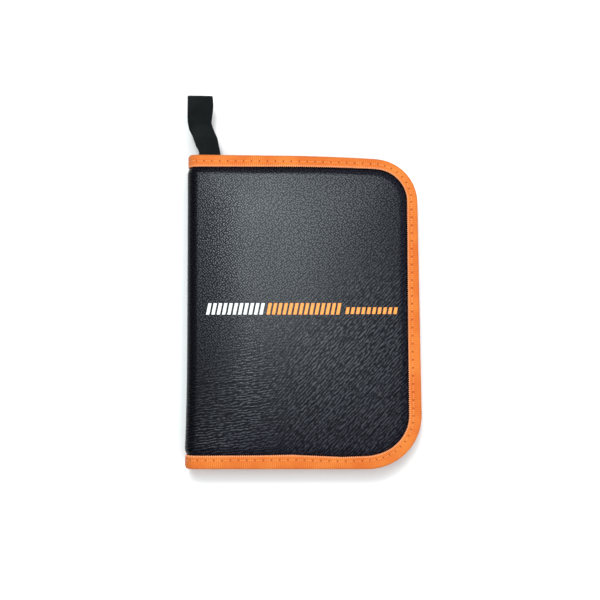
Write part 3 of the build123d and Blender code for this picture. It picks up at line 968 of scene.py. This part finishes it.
def round_corners(points, radii, steps=5):
    """The outline with each corner replaced by an arc."""
    result = []
    count = len(points)
    for i, (point, radius) in enumerate(zip(points, radii)):
        here = Vector(point)
        before = (Vector(points[i - 1]) - here).normalized()
        after = (Vector(points[(i + 1) % count]) - here).normalized()
        half = before.angle(after) / 2
        if radius <= 0:
            result.append(tuple(here))
            continue
        reach = radius / math.tan(half)
        centre = here + (before + after).normalized() * (radius / math.sin(half))
        first, last = here + before * reach - centre, here + after * reach - centre
        for k in range(steps + 1):
            result.append(tuple(centre + first.slerp(last, k / steps) * radius))
    return result


def circle(centre_u, centre_v, half_u, half_v, count=20):
    """A stadium or circle: the half lengths along u and v."""
    radius = min(half_u, half_v)
    points = []
    for k in range(count):
        angle = 2 * math.pi * k / count
        u = math.cos(angle) * radius + math.copysign(half_u - radius, math.cos(angle))
        v = math.sin(angle) * radius + math.copysign(half_v - radius, math.sin(angle))
        points.append((centre_u + u, centre_v + v))
    return points


def box_outline(low_u, low_v, high_u, high_v):
    return [(low_u, low_v), (high_u, low_v), (high_u, high_v), (low_u, high_v)]


def make_slider():
    low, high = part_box("zip_slider_body")
    wing = 1.0 * MM
    rim_overlap, rim_height = 0.1 * MM, 0.9 * MM
    mid_x = (low.x + high.x) / 2
    half = (high.z - low.z) / 2
    tail = 3.2 * MM
    body = [
        (low.x, MID_Z - half), (mid_x, MID_Z - half), (high.x, MID_Z - tail),
        (high.x, MID_Z + tail), (mid_x, MID_Z + half), (low.x, MID_Z + half),
    ]
    body = round_corners(body, [1.4 * MM, 3 * MM, 1.0 * MM, 1.0 * MM, 3 * MM, 1.4 * MM])
    post = circle(low.x + 2 * MM, MID_Z, 1.2 * MM, 0.3 * MM)
    rim = circle(mid_x - 1.0 * MM, MID_Z - 3.6 * MM, 3.3 * MM, 0.3 * MM)
    front, rear = low.y + wing, high.y - wing
    for name, outline, y0, y1, bevel in (
        ("slider_front_wing", body, low.y, front, 0.28 * MM),
        ("slider_rear_wing", body, rear, high.y, 0.28 * MM),
        ("slider_post", post, front - wing / 2, rear + wing / 2, 0.02 * MM),
        ("slider_front_rim", rim, front - rim_overlap, front + rim_height, 0.05 * MM),
        ("slider_rear_rim", rim, rear - rim_height, rear + rim_overlap, 0.05 * MM),
    ):
        piece = rounded_solid(name, outline, "y", y0, y1, bevel, METAL)
        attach(piece, "zip_slider")
        if name == "slider_front_wing":
            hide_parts("zip_slider_body")


def make_bail():
    """The bridge on the slider that the pull hangs on."""
    low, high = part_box("zip_slider_bail")
    bar = 1.0 * MM
    rooted = high.y + 0.2 * MM
    arch = [(low.x, rooted), (low.x, low.y), (high.x, low.y), (high.x, rooted)]
    arch = round_corners(arch, [0, 1.6 * MM, 1.6 * MM, 0])
    left, right = low.x + bar, high.x - bar
    eye = [(left, high.y), (left, low.y + bar), (right, low.y + bar), (right, high.y)]
    eye = round_corners(eye, [0.1 * MM, 0.7 * MM, 0.7 * MM, 0.1 * MM])
    bail = rounded_solid("slider_bail", arch, "z", low.z, high.z, 0.25 * MM, METAL, [eye])
    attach(bail, "zip_slider")
    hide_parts("zip_slider_bail")


def make_pull():
    low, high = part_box("zip_pull_tab")
    pivot_x = next(joint["pos_m"][0] for joint in frame["joints"] if joint["name"] == "pull_swing")
    half_root, half_end, half_window = 2.8 * MM, (high.z - low.z) / 2, 1.3 * MM
    outline = [
        (low.x, MID_Z - half_root), (high.x, MID_Z - half_end),
        (high.x, MID_Z + half_end), (low.x, MID_Z + half_root),
    ]
    outline = round_corners(outline, [0.6 * MM, 2.4 * MM, 2.4 * MM, 0.6 * MM])
    window = box_outline(pivot_x + 0.5 * MM, MID_Z - half_window, pivot_x + 4 * MM, MID_Z + half_window)
    window = round_corners(window, [0.15 * MM, 0.8 * MM, 0.8 * MM, 0.15 * MM])
    slot = circle(high.x - 5 * MM, MID_Z, 3 * MM, 1.2 * MM)
    tab = rounded_solid("zip_pull", outline, "y", low.y, high.y, 0.3 * MM, METAL, [window, slot])
    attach(tab, "zip_pull")
    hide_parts("zip_pull_tab")


# ---------------------------------------------------------------- Hang loop

# The webbing's two edges from its sewn root up to its fold: x and y of the left one, then the right.
LOOP_EDGES = np.array([
    (-80.4, 113.6, -64.2, 113.6), (-80.4, 119.0, -64.2, 119.0), (-80.8, 124.6, -64.3, 124.6),
    (-82.8, 130.6, -65.3, 130.0), (-84.9, 136.6, -66.4, 135.2), (-86.9, 140.4, -68.3, 139.6),
    (-88.5, 143.4, -70.0, 143.8), (-89.4, 146.8, -71.1, 148.2), (-89.7, 151.0, -70.9, 151.8),
    (-89.7, 158.0, -70.2, 158.4), (-89.6, 163.0, -70.0, 163.0), (-89.6, 168.9, -70.4, 168.1),
]) * MM
WEBBING_THICKNESS = 1.2 * MM
LAYER_GAP = 0.08 * MM
EYE_START = 14 * MM
SPAN_SAMPLES = 24
# Places up the loop, as y.
ROOT_Y = 121 * MM
HUMP_Y = 134 * MM
CREASE_Y = 144.5 * MM
FLAT_Y = 150 * MM


def loop_route(count):
    """Places of both edges evenly along the loop, on a smooth curve through the listed ones."""
    before, after = 2 * LOOP_EDGES[0] - LOOP_EDGES[1], 2 * LOOP_EDGES[-1] - LOOP_EDGES[-2]
    padded = np.vstack([before, LOOP_EDGES, after])
    fine = []
    for p0, p1, p2, p3 in zip(padded, padded[1:], padded[2:], padded[3:]):
        t = np.linspace(0, 1, SPAN_SAMPLES, endpoint=False)[:, None]
        cubic = (3 * p1 - p0 - 3 * p2 + p3) * t**3
        fine.append(0.5 * (2 * p1 + (p2 - p0) * t + (2 * p0 - 5 * p1 + 4 * p2 - p3) * t**2 + cubic))
    fine = np.vstack([*fine, LOOP_EDGES[-1:]])
    along = run_length((fine[:, :2] + fine[:, 2:]) / 2)
    at = np.linspace(0, along[-1], count)
    return np.stack([np.interp(at, along, column) for column in fine.T], -1), at


def loop_relief(x, y, across):
    """How far the worn webbing stands off its plane: a crease, a hump over the seam, cupped edges."""
    crease_y = CREASE_Y + 0.12 * (x + 80 * MM)
    crease = 0.9 * MM * np.exp(-(((y - crease_y) / (3.5 * MM)) ** 2))
    hump = 0.8 * MM * np.exp(-(((y - HUMP_Y) / (5 * MM)) ** 2))
    free = smoothstep((y - ROOT_Y) / (4 * MM)) * smoothstep((FLAT_Y - y) / (20 * MM))
    return hump - crease - 0.7 * MM * (4 * across**2 - 0.4) * free


def lower_layer_slip(y):
    """How far the loop's lower layer has slipped sideways from under the upper one."""
    above_root = smoothstep((y - ROOT_Y - 3 * MM) / (6 * MM))
    return -0.9 * MM * smoothstep((FLAT_Y - y) / (12 * MM)) * above_root


def make_hang_loop():
    """One length of webbing folded over at its end, with a small eye there and its root sewn flat."""
    low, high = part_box("hang_loop")
    axis_z = (low.z + high.z) / 2
    eye = (high.z - low.z) / 2 - WEBBING_THICKNESS / 2
    route, at = loop_route(100)
    route, at = route[at < at[-1] - eye], at[at < at[-1] - eye]
    opening = smoothstep((at - EYE_START) / (at[-1] - EYE_START)) ** 1.5
    closed = WEBBING_THICKNESS / 2 + LAYER_GAP
    lift = closed + (eye - closed) * opening
    heading = np.gradient((route[:, :2] + route[:, 2:]) / 2, axis=0)[-1]
    heading /= np.linalg.norm(heading)
    total = 2 * at[-1] + eye * math.pi
    # Each station: the two edges, the height off the middle plane, the outward lean, and the run.
    stations = [(*edges, height, 0.0, 1.0, run) for edges, height, run in zip(route, lift, at)]
    for angle in np.linspace(0, math.pi, 15)[1:-1]:
        forward, upward = math.sin(angle), math.cos(angle)
        reach = np.tile(heading * eye * forward, 2)
        stations.append((*(route[-1] + reach), eye * upward, forward, upward, at[-1] + eye * angle))
    for edges, height, run in zip(route[::-1], lift[::-1], at[::-1]):
        stations.append((*edges, -height, 0.0, -1.0, total - run))
    across = np.linspace(-0.5, 0.5, 13)
    selvedge = (1 - 0.45 * np.abs(2 * across) ** 8)[:, None]
    outer, inner, flats = [], [], []
    for left_x, left_y, right_x, right_y, height, forward, upward, run in stations:
        x = (left_x + right_x) / 2 + across * (right_x - left_x)
        y = (left_y + right_y) / 2 + across * (right_y - left_y)
        if upward < 0:
            x = x + lower_layer_slip(left_y)
        base = np.stack([x, y, axis_z + height + loop_relief(x, y, across)], -1)
        half = np.array([*(heading * forward), upward]) * WEBBING_THICKNESS / 2 * selvedge
        outer.append(base + half)
        inner.append(base - half)
        flats.append(np.stack([np.full_like(x, run), across * (right_x - left_x), np.zeros_like(x)], -1))
    loop = band("hang_loop_webbing", np.array(outer), np.array(inner), np.array(flats), WEBBING)
    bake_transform(loop)
    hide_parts("hang_loop", "hang_loop_anchor")


# ---------------------------------------------------------------- Straps and pocket inside

SEWN_THREAD_RADIUS = 0.2 * MM
SEWN_STITCH_PITCH = 3.2 * MM
STRAP_THICKNESS = 1.2 * MM
STRAP_SEWN = 10 * MM
STRAP_RIBS = 9


def stitch_run(side, corners, depth_at):
    """Short stitches along straight lines on the inside of a cover, between corners given as x and y."""
    parts = []
    lift = np.array([-0.3, 0.75, 1.0, 0.75, -0.3]) * 0.18 * MM
    upward = np.tile((0, 0, 1.0), (len(lift), 1))
    for (x0, y0), (x1, y1) in zip(corners, corners[1:]):
        count = max(1, round(math.dist((x0, y0), (x1, y1)) / SEWN_STITCH_PITCH))
        for i in range(count):
            t = (i + 0.12 + 0.76 * np.linspace(0, 1, len(lift))) / count
            xs, ys = x0 + (x1 - x0) * t, y0 + (y1 - y0) * t
            z = depth_at(xs, ys) + lift
            if side == "front":
                z = CASE_DEPTH - z
            dx, dy = settle(xs, ys)
            parts.append(tube(np.stack([xs + dx, ys + dy, z], -1), upward, SEWN_THREAD_RADIUS))
    return parts


def make_strap(name):
    """A ribbed elastic strap that arches over a battery pack, sewn down at both ends."""
    low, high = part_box(name)
    rise = high.z - low.z - STRAP_THICKNESS
    half = (high.x - low.x) / 2
    free = half - STRAP_SEWN
    sewn_columns = np.linspace(free, half, 5)
    columns = np.concatenate([-sewn_columns[:0:-1], np.linspace(-free, free, 41), sewn_columns[1:]])
    middle_x = (low.x + high.x) / 2
    across, columns = np.meshgrid(np.linspace(-1, 1, 15), columns)
    y = low.y + (high.y - low.y) * (across + 1) / 2
    lift = smoothstep((free - np.abs(columns)) / (0.6 * free))
    ribs = 0.08 * MM * np.cos(across * math.pi * STRAP_RIBS)
    edge = 0.35 * MM * np.abs(across) ** 10
    bed = low.z + rise * lift - 0.35 * MM * lift * across**2
    upper = np.stack([middle_x + columns, y, bed + STRAP_THICKNESS + ribs - edge], -1)
    lower = np.stack([middle_x + columns, y, np.maximum(bed + 0.02 * MM + edge, low.z)], -1)
    flat = np.stack([columns, y, np.zeros_like(y)], -1)
    strap = band(f"elastic_{name}", upper, lower, flat, ELASTIC)
    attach(strap, "back_cover")
    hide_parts(name)

    def strap_face(xs, ys):
        return np.full_like(xs, low.z + STRAP_THICKNESS)

    parts = []
    y0, y1 = low.y + 2.5 * MM, high.y - 2.5 * MM
    for end in (-1, 1):
        x0, x1 = middle_x + end * (free + 1.5 * MM), middle_x + end * (half - 1.5 * MM)
        parts += stitch_run("back", [*box_outline(x0, y0, x1, y1), (x0, y0), (x1, y1)], strap_face)
        parts += stitch_run("back", [(x0, y1), (x1, y0)], strap_face)
    tack = make_object(f"strap_stitches_{name}", *join(parts), BLACK_THREAD)
    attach(tack, "back_cover")


POCKET_CLOTH_THICKNESS = 0.6 * MM
POCKET_INSETS = [0, 1.2, 2.4, 3.4, 4.6, 6.5, 9.5]
POCKET_SEAM = 3 * MM
# The folded hem's section: each point's place above the mouth and height off the cloth, in millimetres.
HEM_SECTION = [
    (0.3, -0.1), (0.3, 0.9), (-0.2, 1.3), (-9.4, 1.2),
    (-10.0, 1.0), (-10.0, 0.55), (-0.5, 0.45), (-0.4, -0.1),
]
HEM_FACE = 1.25 * MM


def make_pocket():
    """A slip pocket: one sheet sewn on three sides, with a folded and stitched hem at its mouth."""
    low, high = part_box("front_pocket")
    inset = RIGHT - high.x
    start, end = flat_s(low.x), FORE_END - inset
    mouth = high.y
    base = CASE_DEPTH - high.z
    insets = [inset + d * MM for d in POCKET_INSETS]
    points = sheet_points(insets, start=start, spacing=5 * MM, step=3 * MM)
    points = points[points[:, 1] < mouth - 1 * MM]
    rim_s = np.append(np.arange(start, end, 3 * MM), end)
    points = np.concatenate([points, np.stack([rim_s, np.full_like(rim_s, mouth)], -1)])

    def outer(s, y):
        from_seam = np.minimum(edge_distance(s, y) - inset, s - start)
        loose = smoothstep((from_seam - POCKET_SEAM) / (9 * MM))
        towards_mouth = smoothstep((y - low.y - 10 * MM) / (mouth - low.y))
        ripple = 0.2 * MM * np.sin(s / 0.013 + 1.5 * np.sin(y / 0.02)) * np.sin(y / 0.031)
        return base + (0.35 * MM + 0.75 * MM * towards_mouth + ripple) * loose

    verts, faces, flat = slab("front", points, outer, lambda s, y: outer(s, y) + POCKET_CLOTH_THICKNESS)
    pocket = make_object("pocket", verts, faces, flat, POCKET_CLOTH)
    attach(pocket, "front_cover")
    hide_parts("front_pocket")
    make_hem(np.linspace(start, end, 60), mouth, outer)
    make_pocket_stitches(low, high, start, inset, outer)


def make_hem(columns, mouth, pocket_depth):
    """The strip folded over the pocket's mouth."""
    section = np.array(HEM_SECTION) * MM
    y = mouth + section[:, 0]
    rows = []
    for s in columns:
        surface = pocket_depth(np.full_like(y, s), np.minimum(y, mouth))
        rows.append(place("front", s, y, surface + section[:, 1]))
    verts, faces = swept(np.array(rows))
    flat = flat_grid(columns, section[:, 0])
    hem = make_object("pocket_hem", verts, flipped(faces), flat, ELASTIC, sharp=60)
    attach(hem, "front_cover")
    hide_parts("front_pocket_hem")


def make_pocket_stitches(low, high, start, inset, pocket_depth):
    """Two rows along the hem, one up the spine side and one round the pocket's sewn edge."""
    mouth = high.y

    def on_hem(x, y):
        return pocket_depth(flat_s(x), np.minimum(y, mouth)) + HEM_FACE

    def on_cloth(x, y):
        return pocket_depth(flat_s(x), y) + POCKET_CLOTH_THICKNESS

    left, right = low.x + 2 * MM, high.x - 2 * MM
    parts = []
    for drop in (1.8 * MM, 8.2 * MM):
        parts += stitch_run("front", [(left, mouth - drop), (right, mouth - drop)], on_hem)
    parts += stitch_run("front", [(left, mouth), (left, low.y + 1.6 * MM)], on_cloth)
    s, y, ns, ny, _ = edge_path(3 * MM, start)
    seam_inset = inset + 1.6 * MM
    seam = zip(s + ns * seam_inset - flat_s(0), y + ny * seam_inset)
    parts += stitch_run("front", [point for point in seam if point[1] < mouth], on_cloth)
    seams = make_object("pocket_stitches", *join(parts), BLACK_THREAD)
    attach(seams, "front_cover")


# ---------------------------------------------------------------- Print

INK_PROUD = 0.07 * MM
INK_SUNK = 0.05 * MM


def make_stripe(name, x0, x1, y0, y1, slant, material):
    """A printed bar that lies on the leather and follows it."""
    columns = max(2, round((x1 - x0) / (1.5 * MM)))
    rows = max(3, round((y1 - y0) / (1 * MM)) + 1)
    u, v = np.meshgrid(np.linspace(0, 1, columns), np.linspace(0, 1, rows))
    s = flat_s(x0 + (x1 - x0) * u + slant * (v - 0.5)).ravel()
    y = (y0 + (y1 - y0) * v).ravel()
    depth = skin_depth("front")(s, y)
    faces = grid_faces(rows, columns)
    verts, faces, flat = closed_sheet("front", s, y, faces, depth - INK_PROUD, depth + INK_SUNK)
    stripe = make_object(name, verts, faces, flat, material)
    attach(stripe, "front_cover")


def make_print():
    """A plain row of slanted strokes across the cover: pale ones, then orange ones, then short ones."""
    stroke, pitch, slope = 2.5 * MM, 4.1 * MM, 0.2
    groups = (
        ("white", -73.5 * MM, 11, -3.0 * MM, 5.8 * MM, WHITE_INK),
        ("orange", -27.0 * MM, 14, -3.0 * MM, 5.8 * MM, ORANGE_INK),
        ("short", 33.0 * MM, 10, -2.6 * MM, 2.6 * MM, ORANGE_INK),
    )
    for name, left, count, y0, y1, material in groups:
        for i in range(count):
            x0 = left + pitch * i
            make_stripe(f"stroke_{name}_{i}", x0, x0 + stroke, y0, y1, slope * (y1 - y0), material)


# ---------------------------------------------------------------- Floor, light and camera


def make_floor():
    mesh = bpy.data.meshes.new("floor")
    half = 6.0
    corners = [(-half, -half, 0), (half, -half, 0), (half, half, 0), (-half, half, 0)]
    mesh.from_pydata(corners, [], [(0, 1, 2, 3)])
    nodes = Nodes("floor")
    vector = nodes.add("ShaderNodeTexCoord").outputs["Object"]
    shade = nodes.mix(nodes.noise(vector, 3.0), rgb(0.9, 0.9, 0.9), rgb(0.93, 0.93, 0.93))
    mesh.materials.append(nodes.finish(shade, 0.9, Specular_IOR_Level=0.1))
    floor = bpy.data.objects.new("floor", mesh)
    bpy.context.scene.collection.objects.link(floor)


def area_light(name, location, size, power, target=(0, 0, 0), color=(1, 1, 1), in_reflections=True):
    light = bpy.data.lights.new(name, "AREA")
    light.shape = "RECTANGLE"
    light.size, light.size_y = size
    light.energy = power
    light.color = color
    obj = bpy.data.objects.new(name, light)
    obj.visible_glossy = in_reflections
    obj.location = location
    obj.rotation_euler = (Vector(target) - Vector(location)).to_track_quat("-Z", "Y").to_euler()
    bpy.context.scene.collection.objects.link(obj)


def make_lights():
    """A soft light above and behind, whose reflection makes the sheen, in a room that dims lower down."""
    area_light("key", (-0.11, 0.30, 1.30), (0.16, 0.48), 8.2, (-0.11, 0.0, 0), (0.86, 0.98, 1.0))
    area_light("window", (-0.05, 0.55, 1.20), (0.8, 0.3), 9.0, in_reflections=False)
    area_light("fill", (0.6, -0.7, 1.5), (0.9, 0.9), 13.5, in_reflections=False)
    world = bpy.data.worlds.new("studio")
    world.use_nodes = True
    tree = world.node_tree
    direction = tree.nodes.new("ShaderNodeTexCoord").outputs["Generated"]
    height = tree.nodes.new("ShaderNodeSeparateXYZ")
    tree.links.new(direction, height.inputs[0])
    ramp = tree.nodes.new("ShaderNodeMapRange")
    tree.links.new(height.outputs["Z"], ramp.inputs["Value"])
    for socket, value in (("From Min", 0.0), ("From Max", 0.8), ("To Min", 0.12), ("To Max", 0.32)):
        ramp.inputs[socket].default_value = value
    background = tree.nodes["Background"]
    tree.links.new(ramp.outputs[0], background.inputs["Strength"])
    background.inputs["Color"].default_value = (1, 1, 1, 1)
    bpy.context.scene.world = world


def make_camera():
    """Almost straight above, leaning a little towards the case's lower edge."""
    data = bpy.data.cameras.new("camera")
    data.sensor_width = 36.0
    data.lens = 62.04
    camera = bpy.data.objects.new("camera", data)
    elevation = math.radians(87.4)
    distance = 0.8
    target = Vector((-1.7 * MM, 8.3 * MM, CASE_DEPTH - 1 * MM))
    back = Vector((0, -math.cos(elevation), math.sin(elevation)))
    camera.location = target + back * distance
    camera.rotation_euler = (-back).to_track_quat("-Z", "Y").to_euler()
    bpy.context.scene.collection.objects.link(camera)
    bpy.context.scene.camera = camera


def finish_cad_nodes():
    """Materials of the CAD nodes that stay."""
    for side in SIDES:
        for node, material in ((f"{side}_board", BOARD), (f"{side}_zip_stops", METAL)):
            mesh = frame["nodes"][node].data
            mesh.materials.clear()
            mesh.materials.append(material)


for side in SIDES:
    make_skin(side)
    make_foam(side)
    make_lining(side)
    make_binding(side)
    make_zip_tape(side)
    make_coil(side)
make_slider()
make_bail()
make_pull()
make_hang_loop()
for strap_name in ("pack_strap_upper", "pack_strap_lower"):
    make_strap(strap_name)
make_pocket()
make_print()
finish_cad_nodes()
make_floor()
make_lights()
make_camera()
bpy.context.scene.view_settings.view_transform = "Standard"
